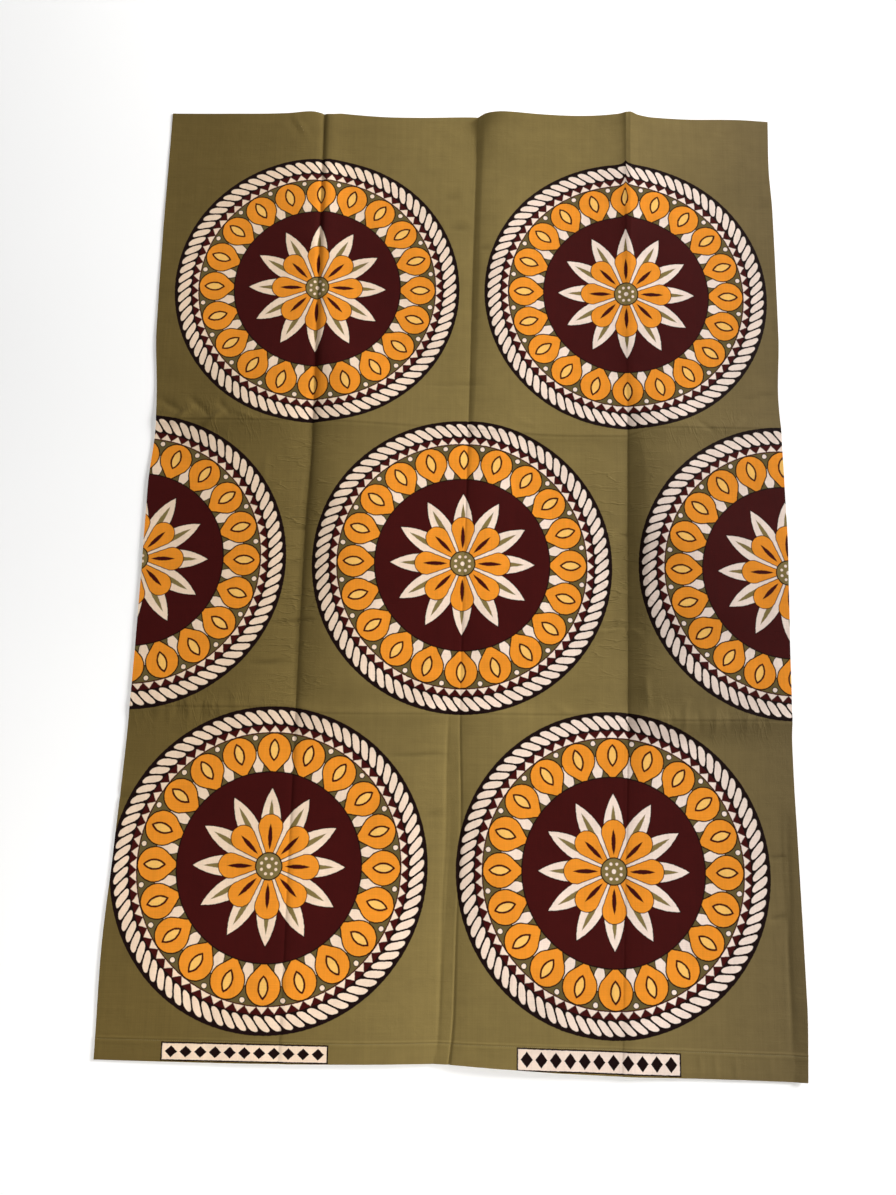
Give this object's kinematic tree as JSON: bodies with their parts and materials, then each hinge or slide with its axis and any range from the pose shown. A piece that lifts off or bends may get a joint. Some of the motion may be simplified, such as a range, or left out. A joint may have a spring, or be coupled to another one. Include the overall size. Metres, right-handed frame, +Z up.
{
  "type": "wrapper cloth",
  "caption": "Rectangular printed cotton wrapper cloth spread out flat, with crossing fold lines, a turned hem at one end and raised waves along the other.",
  "frame": {"origin": "middle of the cloth's box, on the surface that it lies on", "axes": "+Z up from the printed side, +Y along the cloth from the hemmed end to the end with the raised waves, +X across it"},
  "size_m": [1.113, 1.6558, 0.0236],
  "materials": {
    "printed_cotton": "plain-woven printed cotton, matt with a faint sheen"
  },
  "bodies": {
    "root": {"wrapper_panel": "printed_cotton"}
  },
  "joints": []
}
